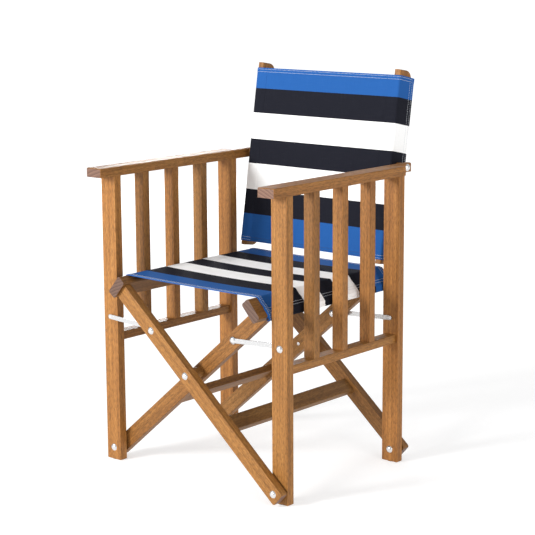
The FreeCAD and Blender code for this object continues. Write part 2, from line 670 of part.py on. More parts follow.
def seat_sling():
    """The seat cloth: flat between the rails' crests, down their outer faces, and round a rod under each."""
    cloth, slack = size["cloth_thick"], size["cloth_slack"]
    outer = size["rail_reach"] + size["rail_thick"] / 2 + slack
    half_high = size["rail_high"] / 2
    edge = size["rail_edge"]
    crest = ladder_turn("b").multVec(Vector(outer - slack - edge, size["rail_lift"] + half_high - edge, 0))
    half_top = crest.x + edge
    deep = "Dimensions.seat_front + Dimensions.seat_rear"
    front = sides_mid - size["seat_front"]
    top = size["cross_high"] + crest.z + edge + slack
    panel = box("SeatPanel", (str(2 * half_top), deep, "Dimensions.cloth_thick"), (-half_top, front, top))
    pieces = [panel]
    tunnels = []
    under = size["rail_lift"] - half_high - slack
    flap_top = size["rail_lift"] + half_high - edge + size["flap_lap"]
    layers = (
        # name, along, square, thickness along the member, height square to it
        ("Flap", outer, under, "Dimensions.cloth_thick", flap_top - under),
        ("Hem", outer, under, "2 * Dimensions.cloth_thick", size["hem_high"]),
        ("Turn", size["rod_along"], under - cloth, f"{outer + 2 * cloth - size['rod_along']}", cloth),
    )
    for ladder in ("a", "b"):
        start = front if ladder == "a" else front + size["seat_front"] + size["seat_rear"]
        for name, along, square, wide, high in layers:
            at = on_ladder(ladder, along, square, 0)
            lengths = (wide, str(high), deep)
            pieces.append(box(f"{name}{ladder.upper()}", lengths, (at.Base.x, start, at.Base.z), at.Rotation))
        loop = rod_at(
            ladder, front, "Dimensions.rod_radius + Dimensions.cloth_thick", deep, f"Loop{ladder.upper()}"
        )
        pieces.append(loop)
        tunnels.append(rod_at(ladder, front, "Dimensions.rod_radius", deep, f"Tunnel{ladder.upper()}"))
    sling = doc.addObject("Part::Cut", "seat_sling")
    sling.Base = joined("SeatCloth", pieces)
    sling.Tool = joined("Tunnels", tunnels)
    keep(sling, "seat_sling", Placement())
    rod_length = f"{deep} + 2 * Dimensions.rod_past_cloth"
    for ladder, word in (("a", "left"), ("b", "right")):
        label = f"seat_rod_{word}"
        radius = "Dimensions.rod_radius - Dimensions.rod_play"
        rod = rod_at(ladder, front - size["rod_past_cloth"], radius, rod_length, label)
        keep(rod, label, rod.Placement)


# --- build, check and write ------------------------------------------------------------------------
for side, word in ((1, "right"), (-1, "left")):
    side_frame(side, word)
    stile(f"stile_{word}", side)
foot_and_link_bolts()
ladders()
ladder_bolts()
links()
back_sling()
seat_sling()
doc.recompute()

for item in doc.Objects:
    if "Invalid" in item.State or "Error" in item.State:
        raise RuntimeError(f"{item.Label} failed: {item.State}")
for part in made:
    if part.Shape.isNull() or not part.Shape.isValid():
        raise RuntimeError(f"{part.Label} has no valid shape")
    if len(part.Shape.Solids) != 1:
        raise RuntimeError(f"{part.Label} has {len(part.Shape.Solids)} solids")

os.makedirs("parts", exist_ok=True)
for part in made:
    part.Shape.exportStep(os.path.join("parts", part.Label + ".step"))
whole = Part.makeCompound([part.Shape for part in made])
print(len(made), "sub-parts, overall", whole.BoundBox)
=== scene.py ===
"""Looks of the folding director chair: oiled wood, bright steel and striped canvas slings.

Metres, in the same frame as the CAD. The slings are built here as thin closed sheets that follow the
rails and the posts; every other part is the CAD's own, with its own material.
"""

import json
import math
import random

import bpy
from mathutils import Matrix, Vector, noise


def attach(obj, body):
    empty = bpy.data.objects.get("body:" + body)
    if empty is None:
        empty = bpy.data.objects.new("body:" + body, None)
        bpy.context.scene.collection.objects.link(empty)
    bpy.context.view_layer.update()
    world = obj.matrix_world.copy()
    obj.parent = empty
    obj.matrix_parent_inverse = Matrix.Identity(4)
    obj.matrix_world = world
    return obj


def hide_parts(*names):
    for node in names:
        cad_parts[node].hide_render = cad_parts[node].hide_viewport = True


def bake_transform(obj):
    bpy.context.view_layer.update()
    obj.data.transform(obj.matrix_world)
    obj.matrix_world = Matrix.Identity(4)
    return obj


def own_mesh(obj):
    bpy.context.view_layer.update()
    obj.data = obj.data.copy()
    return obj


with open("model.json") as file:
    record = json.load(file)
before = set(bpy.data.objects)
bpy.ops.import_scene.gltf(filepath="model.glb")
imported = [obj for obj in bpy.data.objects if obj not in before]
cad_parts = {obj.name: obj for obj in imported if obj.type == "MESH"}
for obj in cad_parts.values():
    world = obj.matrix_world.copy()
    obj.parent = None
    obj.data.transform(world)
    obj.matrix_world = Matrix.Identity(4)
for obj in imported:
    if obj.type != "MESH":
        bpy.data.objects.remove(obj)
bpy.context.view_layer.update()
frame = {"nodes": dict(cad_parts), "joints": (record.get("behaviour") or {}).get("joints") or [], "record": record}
nodes = frame["nodes"]
MM = 0.001

joints = {joint["name"]: joint for joint in frame["joints"]}
foot_pivot = Vector(joints["fold"]["pos_m"])
crossing = Vector(joints["scissor"]["pos_m"])
back_pivot = Vector(joints["back_right_turn"]["pos_m"])
SIDES_MID = crossing.y
UP_A = (crossing - foot_pivot).normalized()  # up along ladder A's members
UP_B = Vector((-UP_A.x, 0, UP_A.z))
LEAN = math.radians(9.2)
UP_BACK = Vector((0, math.sin(LEAN), math.cos(LEAN)))  # up along the back's posts
REAR_BACK = Vector((0, math.cos(LEAN), -math.sin(LEAN)))


# --- materials -------------------------------------------------------------------------------------
def colour(red, green, blue):
    """A display colour, 0 to 255, as the linear colour that a shader takes."""
    def linear(value):
        value /= 255
        return value / 12.92 if value <= 0.04045 else ((value + 0.055) / 1.055) ** 2.4
    return (linear(red), linear(green), linear(blue), 1)


class Tree:
    """A material under construction, with short ways to add its nodes."""

    def __init__(self, name):
        self.material = bpy.data.materials.new(name)
        self.material.use_nodes = True
        self.nodes = self.material.node_tree.nodes
        self.links = self.material.node_tree.links
        self.shader = self.nodes["Principled BSDF"]

    def put(self, socket, value):
        """Link an output to the socket, or give the socket a plain value."""
        if isinstance(value, bpy.types.NodeSocket):
            self.links.new(value, socket)
        else:
            socket.default_value = value

    def set(self, **inputs):
        """Give the shader's inputs their outputs or values, with _ for a space in an input's name."""
        for name, value in inputs.items():
            self.put(self.shader.inputs[name.replace("_", " ")], value)

    def coordinates(self, output):
        return self.nodes.new("ShaderNodeTexCoord").outputs[output]

    def math(self, operation, *values):
        node = self.nodes.new("ShaderNodeMath")
        node.operation = operation
        for socket, value in zip(node.inputs, values):
            self.put(socket, value)
        return node.outputs[0]

    def mapping(self, vector, location=(0, 0, 0), rotation=(0, 0, 0), scale=(1, 1, 1)):
        node = self.nodes.new("ShaderNodeMapping")
        for name, value in (
            ("Vector", vector), ("Location", location), ("Rotation", rotation), ("Scale", scale)
        ):
            self.put(node.inputs[name], value)
        return node.outputs[0]

    def noise(self, vector, scale, detail=2, roughness=0.5):
        node = self.nodes.new("ShaderNodeTexNoise")
        for name, value in (
            ("Vector", vector), ("Scale", scale), ("Detail", detail), ("Roughness", roughness)
        ):
            self.put(node.inputs[name], value)
        return node.outputs["Fac"]

    def rings(self, vector, scale, distortion):
        node = self.nodes.new("ShaderNodeTexWave")
        node.wave_type = "RINGS"
        node.rings_direction = "Z"
        node.wave_profile = "SAW"
        inputs = (
            ("Vector", vector), ("Scale", scale), ("Distortion", distortion), ("Detail", 2),
            ("Detail Scale", 0.6), ("Detail Roughness", 0.5),
        )
        for name, value in inputs:
            self.put(node.inputs[name], value)
        return node.outputs["Fac"]

    def ramp(self, factor, stops, interpolation="LINEAR"):
        """A colour ramp; a stop is its position and a grey value or a linear colour."""
        node = self.nodes.new("ShaderNodeValToRGB")
        node.color_ramp.interpolation = interpolation
        elements = node.color_ramp.elements
        while len(elements) < len(stops):
            elements.new(0.5)
        for element, (position, _) in zip(elements, stops):
            element.position = position
        for element, (_, value) in zip(elements, stops):
            element.color = value if hasattr(value, "__len__") else (value, value, value, 1)
        self.put(node.inputs[0], factor)
        return node.outputs[0]

    def mix(self, factor, first, second, blend="MIX"):
        """Two colours mixed; blend names how."""
        node = self.nodes.new("ShaderNodeMix")
        node.data_type = "RGBA"
        node.blend_type = blend
        for index, value in ((0, factor), (6, first), (7, second)):
            self.put(node.inputs[index], value)
        return node.outputs[2]

    def dot(self, vector, direction):
        node = self.nodes.new("ShaderNodeVectorMath")
        node.operation = "DOT_PRODUCT"
        self.put(node.inputs[0], vector)
        node.inputs[1].default_value = direction
        return node.outputs["Value"]

    def bump(self, height, strength, distance):
        node = self.nodes.new("ShaderNodeBump")
        node.inputs["Strength"].default_value = strength
        node.inputs["Distance"].default_value = distance
        self.put(node.inputs["Height"], height)
        self.put(self.shader.inputs["Normal"], node.outputs[0])


# oiled wood: long grain from its darkest to its palest, and the sawn ends
WOOD_DARK = (104, 66, 29)
WOOD_MID = (138, 91, 41)
WOOD_LIGHT = (163, 112, 55)
WOOD_PALE = (183, 133, 73)
END_DARK = (96, 70, 58)
END_LIGHT = (136, 104, 88)
PORES = 0.4  # how strongly the fine pores darken the face
FLECKS = 0.6  # how strongly the short flecks do


def wood(name, along, seed, tone_and_painted_light=1.0):
    """Oiled hardwood with its grain along a direction; seed and the lightness factor set one board apart from the
    next, and that factor carries painted light and shade as well as the board's own tone.
    """
    draw = random.Random(seed)
    tree = Tree(name)
    turn = Vector(along).rotation_difference(Vector((0, 0, 1))).to_euler()
    heart = (draw.uniform(0.03, 0.09), draw.uniform(0.03, 0.09), draw.uniform(0, 5))
    board = tree.mapping(tree.coordinates("Object"), heart, turn)
    drawn = tree.mapping(board, scale=(1, 1, 0.06))
    fibre_space = tree.mapping(board, scale=(1, 1, 0.015))
    pore_space = tree.mapping(board, scale=(1, 1, 0.05))
    fleck_space = tree.mapping(board, scale=(1, 1, 0.2))
    growth = tree.rings(drawn, draw.uniform(28, 44), 3.2)
    clouds = tree.noise(drawn, 60, 3, 0.55)
    fibres = tree.noise(fibre_space, 900, 3, 0.6)
    pores = tree.ramp(tree.noise(pore_space, 1500, 1), ((0.30, 0.35), (0.40, 1.0)))

    figure = tree.math("MULTIPLY", growth, 0.12)
    figure = tree.math("MULTIPLY_ADD", clouds, 0.42, figure)
    figure = tree.math("MULTIPLY_ADD", fibres, 0.34, figure)
    figure = tree.math("ADD", figure, draw.uniform(-0.05, 0.05))
    warm = 1 + draw.uniform(-0.015, 0.035)
    tone_and_painted_light *= draw.uniform(0.92, 1.03)

    def toned_and_lit(rgb):
        return colour(min(255, rgb[0] * tone_and_painted_light * warm), rgb[1] * tone_and_painted_light, rgb[2] * tone_and_painted_light / warm)

    stops = ((0.17, WOOD_DARK), (0.36, WOOD_MID), (0.52, WOOD_LIGHT), (0.72, WOOD_PALE))
    face = tree.ramp(figure, [(position, toned_and_lit(rgb)) for position, rgb in stops])
    flecks = tree.ramp(tree.noise(fleck_space, 480, 2, 0.6), ((0.38, 0.40), (0.56, 1.0)))
    for share, marks in ((FLECKS, flecks), (PORES, pores)):
        face = tree.mix(share, face, tree.mix(1.0, face, marks, "MULTIPLY"))
    end_rings = tree.math("MULTIPLY", growth, 0.5)
    end_figure = tree.math("MULTIPLY_ADD", tree.noise(board, 700, 2), 0.5, end_rings)
    end = tree.ramp(end_figure, ((0.25, toned_and_lit(END_DARK)), (0.75, toned_and_lit(END_LIGHT))))
    facing_end = tree.math("ABSOLUTE", tree.dot(tree.coordinates("Normal"), along))
    is_end = tree.ramp(facing_end, ((0.80, 0.0), (0.97, 1.0)))
    rough = tree.math("MULTIPLY_ADD", fibres, 0.18, 0.40)
    height = tree.math("ADD", tree.math("MULTIPLY", fibres, 0.5), tree.math("MULTIPLY", pores, 0.5))
    tree.set(Base_Color=tree.mix(is_end, face, end), Roughness=rough)
    tree.shader.inputs["Specular IOR Level"].default_value = 0.28
    tree.bump(height, 0.25, 0.0003)
    return tree.material


BLUE = (38, 88, 154)
NAVY = (29, 30, 38)
WHITE = (249, 249, 248)
THREAD_PITCH = 0.0011  # of the canvas's weave


def canvas(name, stripes):
    """Striped canvas: plain weave over the sheet's own width and length in metres, from its UV map.

    stripes are (where it starts along the length, in metres, and its display colour).
    """
    tree = Tree(name)
    cloth = tree.nodes.new("ShaderNodeUVMap")
    cloth.uv_map = "Cloth"
    split = tree.nodes.new("ShaderNodeSeparateXYZ")
    tree.put(split.inputs[0], cloth.outputs[0])
    across, along = split.outputs[0], split.outputs[1]
    warp = tree.math("SINE", tree.math("MULTIPLY", across, 2 * math.pi / THREAD_PITCH))
    weft = tree.math("SINE", tree.math("MULTIPLY", along, 2 * math.pi / THREAD_PITCH))
    weave = tree.math("MULTIPLY_ADD", tree.math("MULTIPLY", warp, weft), 0.5, 0.5)
    warp_tone = tree.noise(tree.mapping(cloth.outputs[0], scale=(900, 25, 1)), 1, 2)
    weft_tone = tree.noise(tree.mapping(cloth.outputs[0], scale=(25, 900, 1)), 1, 2)
    threads = tree.math("ADD", warp_tone, weft_tone)
    fuzz = tree.math("MULTIPLY", tree.math("SUBTRACT", warp_tone, 0.5), 0.0012)
    dyed = tree.ramp(
        tree.math("ADD", along, fuzz), [(start, colour(*rgb)) for start, rgb in stripes], "CONSTANT"
    )
    thread_shade = tree.math("MULTIPLY_ADD", threads, 0.22, 0.73)
    shade = tree.math("MULTIPLY_ADD", weave, 0.10, thread_shade)
    shaded = tree.mix(1.0, dyed, tree.ramp(shade, ((0.0, 0.0), (1.0, 1.0))), "MULTIPLY")
    flecks = tree.ramp(tree.math("MULTIPLY", warp_tone, weft_tone), ((0.30, 0.0), (0.46, 1.0)))
    lifted = tree.mix(tree.math("MULTIPLY", flecks, 0.012), shaded, (0.6, 0.62, 0.68, 1))
    tree.set(Base_Color=lifted)
    tree.shader.inputs["Roughness"].default_value = 0.85
    tree.shader.inputs["Specular IOR Level"].default_value = 0.06
    tree.bump(tree.math("ADD", weave, tree.math("MULTIPLY", threads, 0.6)), 0.5, 0.0003)
    return tree.material


def steel(name, brightness, low, high):
    """Bright steel with fine scratches and handling marks; low and high bound its roughness."""
    tree = Tree(name)
    marks = tree.noise(tree.coordinates("Object"), 260, 4, 0.6)
    scratches = tree.noise(tree.mapping(tree.coordinates("Object"), scale=(1, 1, 18)), 300, 2)
    worn = (brightness * 0.86, brightness * 0.86, brightness * 0.87, 1)
    tree.set(
        Base_Color=tree.ramp(marks, ((0.3, worn), (0.7, brightness))),
        Roughness=tree.math("MULTIPLY_ADD", marks, high - low, low),
    )
    tree.shader.inputs["Metallic"].default_value = 1.0
    tree.bump(scratches, 0.12, 0.0002)
    return tree.material


def plastic(name, rgb):
    """Finely grained moulded plastic."""
    tree = Tree(name)
    grain = tree.noise(tree.coordinates("Object"), 900, 2)
    dark, light = (colour(*[value * share for value in rgb]) for share in (0.85, 1.1))
    tree.set(
        Base_Color=tree.ramp(grain, ((0.3, dark), (0.7, light))),
        Roughness=tree.math("MULTIPLY_ADD", grain, 0.2, 0.45),
    )
    tree.bump(grain, 0.25, 0.0003)
    return tree.material


def thread(name, rgb):
    """Twisted sewing thread."""
    tree = Tree(name)
    twist = tree.noise(tree.coordinates("Object"), 2500, 1)
    dark = colour(*[value * 0.85 for value in rgb])
    tree.set(Base_Color=tree.ramp(twist, ((0.3, dark), (0.7, colour(*rgb)))))
    tree.shader.inputs["Roughness"].default_value = 0.7
    return tree.material


# --- the CAD's own parts ---------------------------------------------------------------------------
UP, REAR, RIGHT = Vector((0, 0, 1)), Vector((0, 1, 0)), Vector((1, 0, 0))
GRAIN = (
    ("leg_", UP), ("slat_", UP), ("side_rail_", REAR), ("armrest_", REAR), ("stretcher_", REAR),
    ("seat_rail_", REAR), ("seat_rod_", REAR), ("crossing_spacer_", REAR), ("back_spacer_", RIGHT),
    ("stile_", UP_BACK),
)
# Partly each board's own tone and partly painted light and shade. The left side rail, whose inner face shows, is
# darker and the right side rail, whose outer face shows, is lighter because of how the light falls on them. The
# right slats are darker for the shade behind the front leg.
BOARD_TONE_AND_PAINTED_LIGHT = {  # how light a board is made against the wood's usual colours, painted light and shade included
    "armrest_": 0.97, "seat_rail_": 0.82, "stretcher_": 0.80, "slat_right": 0.94, "slat_left": 0.97,
    "side_rail_right": 1.08, "side_rail_left": 0.92, "leg_rear_left": 1.08, "seat_rod_": 0.6,
    "member_front_a": 1.06, "member_front_b": 0.97, "member_rear": 0.95, "leg_rear_right": 1.04,
}

bolt_steel = steel("bolt_steel", 0.80, 0.16, 0.34)
strip_steel = steel("strip_steel", 0.62, 0.14, 0.36)
glide_plastic = plastic("glide_plastic", (34, 33, 33))


def grain_of(name):
    """The direction of a wooden part's grain, or None for a part of another material."""
    if name.startswith("member_"):
        return UP_A if name.endswith("_a") else UP_B
    return next((direction for start, direction in GRAIN if name.startswith(start)), None)


for index, (name, part) in enumerate(sorted(nodes.items())):
    along = grain_of(name)
    if along:
        tone_and_painted_light = next((value for start, value in BOARD_TONE_AND_PAINTED_LIGHT.items() if name.startswith(start)), 1.0)
        material = wood(f"wood_{name}", along, 40 + index, tone_and_painted_light)
    elif name.startswith("glide_"):
        material = glide_plastic
    elif name in ("link_front_left", "link_rear_left", "link_front_right", "link_rear_right"):
        material = strip_steel
    else:
        material = bolt_steel
    for slot in part.material_slots:
        slot.material = material


# --- cloth -----------------------------------------------------------------------------------------
def rounded(corners, arc_steps=8):
    """Points along straight lines through (x, y, radius) corners, each corner rounded by its radius."""
    points = [Vector(corners[0][:2])]
    for before, corner, after in zip(corners, corners[1:], corners[2:]):
        at = Vector(corner[:2])
        back = (Vector(before[:2]) - at).normalized()
        forth = (Vector(after[:2]) - at).normalized()
        half_angle = math.acos(max(-1, min(1, back.dot(forth)))) / 2
        centre = at + (back + forth).normalized() * corner[2] / math.sin(half_angle)
        reach = corner[2] / math.tan(half_angle)
        start, stop = at + back * reach - centre, at + forth * reach - centre
        swing = start.angle_signed(stop)
        for step in range(arc_steps + 1):
            angle = -swing * step / arc_steps
            turned = Vector((
                start.x * math.cos(angle) - start.y * math.sin(angle),
                start.x * math.sin(angle) + start.y * math.cos(angle),
            ))
            points.append(centre + turned)
    points.append(Vector(corners[-1][:2]))
    return points


def spaced(points, step):
    """The same line with points added, so that no stretch of it is longer than step."""
    line = [points[0]]
    for start, stop in zip(points, points[1:]):
        length = (stop - start).length
        if length < 1e-7:
            continue
        count = max(1, math.ceil(length / step))
        line += [start.lerp(stop, index / count) for index in range(1, count + 1)]
    return line


def run_lengths(line):
    """How far along a line each of its points is."""
    total = [0.0]
    for start, stop in zip(line, line[1:]):
        total.append(total[-1] + (stop - start).length)
    return total


def mesh_object(name, vertices, faces, material, uv=None):
    """A smooth-shaded object in the scene; uv has one place per vertex, for the map named Cloth."""
    mesh = bpy.data.meshes.new(name)
    mesh.from_pydata(vertices, [], faces)
    if uv:
        layer = mesh.uv_layers.new(name="Cloth")
        for loop in mesh.loops:
            layer.data[loop.index].uv = uv[loop.vertex_index]
    mesh.polygons.foreach_set("use_smooth", [True] * len(mesh.polygons))
    mesh.validate()
    mesh.update()
    piece = bpy.data.objects.new(name, mesh)
    bpy.context.scene.collection.objects.link(piece)
    piece.data.materials.append(material)
    return piece


def sheet(name, grid, across, along, outer, inner, material):
    """A thin closed sheet round a grid of mid points; outer and inner give its faces' offsets at (i, j).

    across and along are the cloth's own coordinates of each column and row, for its weave and stripes.
    """
    columns, rows = len(grid), len(grid[0])

    def normal(i, j):
        tangent = grid[min(i + 1, columns - 1)][j] - grid[max(i - 1, 0)][j]
        length = grid[i][min(j + 1, rows - 1)] - grid[i][max(j - 1, 0)]
        return tangent.cross(length).normalized()

    vertices, uv = [], []
    for side, offset in ((1, outer), (-1, inner)):
        for i in range(columns):
            for j in range(rows):
                vertices.append(grid[i][j] + normal(i, j) * side * offset(i, j))
                uv.append((across[i], along[j]))
    below = columns * rows
    faces = []
    for i in range(columns - 1):
        for j in range(rows - 1):
            a, b = i * rows + j, (i + 1) * rows + j
            faces.append((a, b, b + 1, a + 1))
            faces.append((below + a + 1, below + b + 1, below + b, below + a))
    rim = [i * rows for i in range(columns)]
    rim += [(columns - 1) * rows + j for j in range(1, rows)]
    rim += [i * rows + rows - 1 for i in range(columns - 2, -1, -1)]
    rim += [j for j in range(rows - 2, 0, -1)]
    for a, b in zip(rim, rim[1:] + rim[:1]):
        faces.append((b, a, below + a, below + b))
    piece = mesh_object(name, vertices, faces, material, uv)
    piece.data.set_sharp_from_angle(angle=math.radians(60))
    return piece


STITCH_RADIUS = 0.00045
STITCH_PITCH = 0.0042
STITCH_LENGTH = 0.0031
STITCH_SIDES = 6
STITCH_PROFILE = (  # (share of its length, share of its radius, lift off the cloth)
    (0.0, 0.45, -0.0004), (0.2, 1.0, 0.00015), (0.8, 1.0, 0.00015), (1.0, 0.45, -0.0004),
)


def stitches(name, lines, material):
    """Sewn lines: a run of short threads lying on the cloth. A line is its (point, normal) pairs."""
    vertices, faces = [], []
    sides = STITCH_SIDES
    for line in lines:
        points = [point for point, _ in line]
        total = run_lengths(points)

        def at(distance):
            index = max(k for k, value in enumerate(total[:-1]) if value <= distance + 1e-12)
            share = (distance - total[index]) / max(total[index + 1] - total[index], 1e-9)
            place = points[index].lerp(points[index + 1], min(share, 1))
            return place, line[index][1].lerp(line[index + 1][1], min(share, 1)).normalized()

        count = int(total[-1] / STITCH_PITCH)
        margin = (total[-1] - (count - 1) * STITCH_PITCH - STITCH_LENGTH) / 2
        for stitch in range(count):
            start = margin + stitch * STITCH_PITCH
            first = len(vertices)
            ahead = (at(start + STITCH_LENGTH)[0] - at(start)[0]).normalized()
            for share, width, lift in STITCH_PROFILE:
                place, up = at(start + share * STITCH_LENGTH)
                side = ahead.cross(up).normalized()
                for k in range(sides):
                    angle = 2 * math.pi * k / sides
                    around = side * math.cos(angle) + up * math.sin(angle) * 0.8
                    vertices.append(place + up * lift + around * STITCH_RADIUS * width)
            for ring in range(len(STITCH_PROFILE) - 1):
                for k in range(sides):
                    a = first + ring * sides + k
                    b = first + ring * sides + (k + 1) % sides
                    faces.append((a, b, b + sides, a + sides))
            faces.append(tuple(first + k for k in range(sides - 1, -1, -1)))
            last = first + (len(STITCH_PROFILE) - 1) * sides
            faces.append(tuple(last + k for k in range(sides)))
    return mesh_object(name, vertices, faces, material)


def ripple(x, y, stretch_x, stretch_y, seed):
    """A faint unevenness of a taut cloth, from -1 to 1."""
    return noise.noise(Vector((x * stretch_x, y * stretch_y, seed)))


def smoothstep(value):
    """A smooth rise from 0 to 1 as value goes from 0 to 1."""
    value = max(0.0, min(1.0, value))
    return value * value * (3 - 2 * value)


CLOTH = 1.5 * MM
HALF = CLOTH / 2
SLACK = 0.3 * MM
HEM = 12 * MM  # depth of the turned hem along a cloth's free edges
HEM_RISE = 0.45 * MM
HEM_STITCHES = (3.5 * MM, 10 * MM)  # from the free edge

light_thread = thread("light_thread", (216, 221, 228))
dark_thread = thread("dark_thread", (46, 54, 78))

# seat
RAIL_OUT = 291 * MM  # from the crossing to a seat rail's outer face, up along the member
RAIL_CREST = 28.5 * MM  # rail's upper and lower faces, square to the member
RAIL_LOW = -24.5 * MM
RAIL_EDGE = 5 * MM
ROD_ALONG = 285.5 * MM
ROD_RADIUS = 2.6 * MM
SEAT_FRONT = SIDES_MID - 221.2 * MM
SEAT_REAR = SIDES_MID + 236.3 * MM
SEAT_DEEP = SEAT_REAR - SEAT_FRONT
SEAT_SAG = 3.0 * MM
SEAT_RIPPLE = 0.7 * MM
square_a = Vector((UP_A.z, 0, -UP_A.x))


def on_rail(along, square):
    """(x, z) of a place on the left seat rail's section."""
    point = crossing + UP_A * along + square_a * square
    return point.x, point.z


face_mid = RAIL_OUT + SLACK + HALF
doubled_mid = face_mid + CLOTH
under_mid = RAIL_LOW - SLACK - HALF
loop_mid = ROD_RADIUS + HALF
rod_low = RAIL_LOW - SLACK - CLOTH - ROD_RADIUS
wrap = RAIL_EDGE + SLACK + HALF
crest_x, crest_z = on_rail(RAIL_OUT - RAIL_EDGE, RAIL_CREST - RAIL_EDGE)
top_mid = crest_z + wrap
face_x, face_z = on_rail(face_mid, 0)
meet_x = face_x + square_a.x * (top_mid - face_z) / square_a.z  # outer face's line meets the top's

# the seat cloth's left half, from the turned-in edge on the rail's outer face: down and under the rail,
# round the rod, up as the flap's outer layer, over the crest, and in to the middle of the seat
half_section = rounded([
    (*on_rail(face_mid, -3 * MM), 0),
    (*on_rail(face_mid, under_mid), wrap),
    (*on_rail(ROD_ALONG - loop_mid, under_mid), 3.3 * MM),
    (*on_rail(ROD_ALONG - loop_mid, rod_low - loop_mid), 3.3 * MM),
    (*on_rail(ROD_ALONG + loop_mid, rod_low - loop_mid), 3.3 * MM),
    (*on_rail(ROD_ALONG + loop_mid, rod_low + 0.9 * MM), 2 * MM),
    (*on_rail(doubled_mid, RAIL_LOW + 1.2 * MM), 3 * MM),
    (*on_rail(doubled_mid, 1 * MM), 10 * MM),
    (*on_rail(face_mid, 9 * MM), 10 * MM),
    (meet_x, top_mid, wrap),
    (0, top_mid, 0),
])
half_section = spaced(half_section, 5 * MM)
section = half_section + [Vector((-point.x, point.y)) for point in half_section[-2::-1]]


def edged_rows(total, step):
    """Row places along a cloth: close together at its two hems, and step apart between."""
    hem = [0, 1.2 * MM, 5 * MM, 9 * MM, HEM - 0.5 * MM, HEM + 0.5 * MM]
    count = math.ceil((total - 2 * HEM) / step)
    middle = [HEM + 0.5 * MM + (total - 2 * HEM - MM) * k / count for k in range(1, count)]
    return hem + middle + [total - value for value in reversed(hem)]


def hem_rise(place, total):
    """How far the outer face stands proud where the cloth is turned under, near either free edge."""
    near = min(place, total - place)
    return HEM_RISE * smoothstep((HEM + 0.3 * MM - near) / MM)


def seat_point(x, z, y):
    """A mid point of the seat cloth: sagging a little, and faintly uneven, between the two crests."""
    inward = 1 - min(1, abs(x / crest_x)) ** 2
    depth = (y - SEAT_FRONT) / SEAT_DEEP
    sag = SEAT_SAG * inward * (0.55 + 0.45 * math.sin(math.pi * depth))
    wave = SEAT_RIPPLE * ripple(x, y, 5, 26, 3.1) * smoothstep(inward * 4)
    return Vector((x, y, z - sag + wave)) if abs(x) < abs(crest_x) else Vector((x, y, z))


STRIPE_COLOURS = (BLUE, NAVY, WHITE, NAVY, WHITE, NAVY, BLUE)
seat_canvas = canvas("seat_canvas", [(SEAT_DEEP * k / 7, rgb) for k, rgb in enumerate(STRIPE_COLOURS)])

seat_rows = edged_rows(SEAT_DEEP, 6 * MM)
seat_grid = [[seat_point(p.x, p.y, SEAT_FRONT + row) for row in seat_rows] for p in section]
seat_across = run_lengths(section)
seat_cloth = sheet(
    "seat_cloth", seat_grid, seat_across, seat_rows,
    lambda i, j: HALF + hem_rise(seat_rows[j], SEAT_DEEP), lambda i, j: HALF, seat_canvas,
)


FLAP_STITCHES = (-6 * MM, -12.5 * MM)  # square to the member, from its middle


def flap_line(side, square):
    """A sewn line along a flap's doubled lower part."""
    x, z = on_rail(doubled_mid + HALF, square)
    up = UP_A.copy()
    if side > 0:
        x, up = -x, UP_B.copy()
    return [(Vector((x, y, z)), up) for y in (SEAT_FRONT + 2 * MM, SEAT_REAR - 2 * MM)]


# the part of the section that shows from outside, from a little above one rod to the other
flap_foot = Vector(on_rail(doubled_mid, RAIL_LOW + 4 * MM))
outer_points = []
for p in half_section:
    if outer_points or (p - flap_foot).length < 3 * MM:
        outer_points.append(p)
section_outside = outer_points + [Vector((-p.x, p.y)) for p in outer_points[-2::-1]]


def seat_edge_line(offset):
    """A hem's sewn line across the seat, from its distance behind the front edge."""
    y = SEAT_FRONT + offset
    points = [seat_point(p.x, p.y, y) for p in spaced(section_outside, 4 * MM)]
    line = []
    for k, point in enumerate(points):
        run = points[min(k + 1, len(points) - 1)] - points[max(k - 1, 0)]
        up = run.cross(REAR).normalized()
        line.append((point + up * (HALF + HEM_RISE), up))
    return line


seat_lines = [seat_edge_line(offset) for offset in HEM_STITCHES]
seat_lines += [seat_edge_line(SEAT_DEEP - offset) for offset in HEM_STITCHES]
seat_lines += [flap_line(side, square) for side in (-1, 1) for square in FLAP_STITCHES]
seat_stitches = stitches("seat_stitches", seat_lines, light_thread)

# back
PIVOT = Vector((0, back_pivot.y, back_pivot.z))
FRONT_MID = -25.55 * MM  # rearward of the posts' middle
REAR_MID = 36.95 * MM
OUTER_MID = 224.55 * MM  # rightward of the chair's middle
INNER_MID = 204.45 * MM
BACK_LOW = -226 * MM  # up the posts from their pivot
BACK_TALL = 443 * MM
BACK_RIPPLE = 0.9 * MM
BACK_BELLY = 1.6 * MM
LAP_END = 200 * MM  # the front panel's ends, behind the sleeves' front layers
LAP_EDGE = 190 * MM  # the sleeves' thin free edges
LAP_DROP = 0.6 * MM
BACK_STRIPES = [width * MM for width in (68, 64, 66, 63, 65.5, 63, 53.5)]  # from the bottom
SLEEVE_DIP = 0.05  # fall of the stripes along a sleeve, for each metre rearward
stripe_feet = [sum(BACK_STRIPES[:k]) for k in range(8)]
back_canvas = canvas("back_canvas", list(zip(stripe_feet, STRIPE_COLOURS)))


def back_point(x, v, w):
    """A mid point of the back cloth from its distance rightward, rearward and up the posts."""
    taut = smoothstep((LAP_EDGE - abs(x)) / (60 * MM)) if v < 0 else 0
    belly = 1 - (2 * w / BACK_TALL - 1) ** 2
    wave = taut * (BACK_RIPPLE * ripple(x, w, 5, 24, 7.7) + BACK_BELLY * belly)
    fall = SLEEVE_DIP * max(0, v - FRONT_MID - 3 * MM)
    return PIVOT + RIGHT * x + REAR_BACK * (v + wave) + UP_BACK * (w + BACK_LOW - fall)


back_rows = edged_rows(BACK_TALL, 8 * MM)


def back_rise(row):
    """The outer face's distance from the back cloth's middle, at a height up the cloth."""
    return HALF + hem_rise(row, BACK_TALL)


